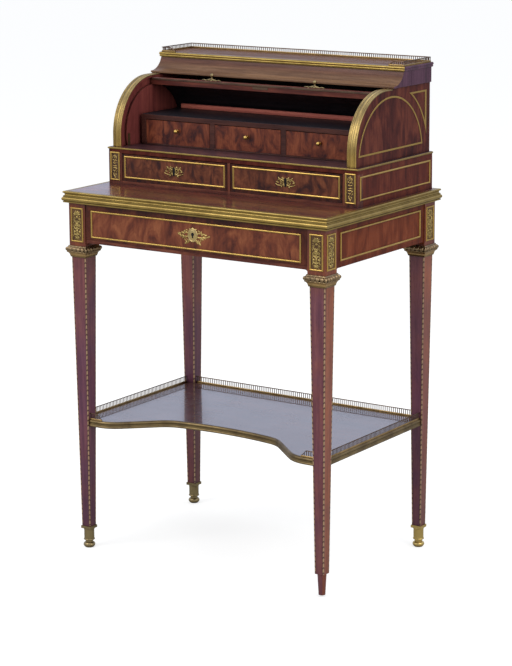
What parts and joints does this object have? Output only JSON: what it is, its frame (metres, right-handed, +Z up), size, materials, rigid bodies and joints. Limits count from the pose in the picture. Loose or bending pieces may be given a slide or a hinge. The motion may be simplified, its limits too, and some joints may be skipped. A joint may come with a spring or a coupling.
{
  "type": "cylinder-top writing table",
  "caption": "Small cylinder-top writing table (bonheur du jour) in mahogany with gilt brass mounts, drawers, a galleried top and a galleried undertier shelf.",
  "frame": {"origin": "on the floor, under the middle of the table's leg blocks", "axes": "+Z up, -Y to the front (where the drawers open), +X to the sitter's right"},
  "size_m": [0.6252, 0.4312, 1.003],
  "materials": {
    "mahogany": "figured mahogany, French polished",
    "dark_wood": "darkened, plain",
    "lining": "plain drawer linings and runners",
    "brass": "gilt, lightly worn"
  },
  "bodies": {
    "carcase": {"leg_front_left": "mahogany", "leg_front_right": "mahogany", "leg_rear_left": "mahogany", "leg_rear_right": "mahogany", "capitals": "brass", "sabots": "brass", "rail_left": "mahogany", "rail_right": "mahogany", "rail_back": "mahogany", "front_rail": "mahogany", "drawer_runners": "lining", "table_top": "mahogany", "table_moulding": "brass", "frieze_frames": "brass", "block_mounts": "brass", "shelf": "mahogany", "shelf_moulding": "brass", "shelf_gallery": "brass", "step_base": "lining", "step_side_left": "mahogany", "step_side_right": "mahogany", "step_posts": "mahogany", "step_partition": "mahogany", "step_back": "dark_wood", "step_top": "mahogany", "step_line": "brass", "step_frames": "brass", "step_mounts": "brass", "gable_left": "mahogany", "gable_right": "mahogany", "arc_left": "brass", "arc_right": "brass", "gable_stringing": "brass", "keeper_plates": "brass", "upper_back": "dark_wood", "top_frieze": "mahogany", "frieze_box": "mahogany", "top_board": "mahogany", "top_moulding": "brass", "top_gallery": "brass", "case_shell": "mahogany", "case_upstand": "mahogany"},
    "frieze_drawer": {"frieze_drawer_front": "mahogany", "frieze_drawer_box": "lining", "frieze_drawer_frame": "brass", "frieze_drawer_escutcheon": "brass", "frieze_drawer_lock": "brass"},
    "step_drawer_left_body": {"step_drawer_left": "mahogany", "step_brass_left": "brass"},
    "step_drawer_right_body": {"step_drawer_right": "mahogany", "step_brass_right": "brass"},
    "inner_drawer_left_body": {"inner_drawer_left": "mahogany", "knob_left": "brass"},
    "inner_drawer_centre_body": {"inner_drawer_centre": "mahogany", "knob_centre": "brass"},
    "inner_drawer_right_body": {"inner_drawer_right": "mahogany", "knob_right": "brass"},
    "cylinder": {"cylinder_shell": "mahogany", "cylinder_brass": "brass", "cylinder_pulls": "brass"}
  },
  "joints": [
    {"name": "frieze_drawer_slide", "type": "slide", "parent": "carcase", "child": "frieze_drawer", "axis": [0, -1, 0], "range_m": [0, 0.3]},
    {"name": "step_drawer_left_slide", "type": "slide", "parent": "carcase", "child": "step_drawer_left_body", "axis": [0, -1, 0], "range_m": [0, 0.15]},
    {"name": "step_drawer_right_slide", "type": "slide", "parent": "carcase", "child": "step_drawer_right_body", "axis": [0, -1, 0], "range_m": [0, 0.15]},
    {"name": "inner_drawer_left_slide", "type": "slide", "parent": "carcase", "child": "inner_drawer_left_body", "axis": [0, -1, 0], "range_m": [0, 0.085]},
    {"name": "inner_drawer_centre_slide", "type": "slide", "parent": "carcase", "child": "inner_drawer_centre_body", "axis": [0, -1, 0], "range_m": [0, 0.085]},
    {"name": "inner_drawer_right_slide", "type": "slide", "parent": "carcase", "child": "inner_drawer_right_body", "axis": [0, -1, 0], "range_m": [0, 0.085]},
    {"name": "cylinder_turn", "type": "hinge", "parent": "carcase", "child": "cylinder", "pos_m": [0, 0.036, 0.84], "axis": [-1, 0, 0], "range_deg": [-100, 0]}
  ]
}
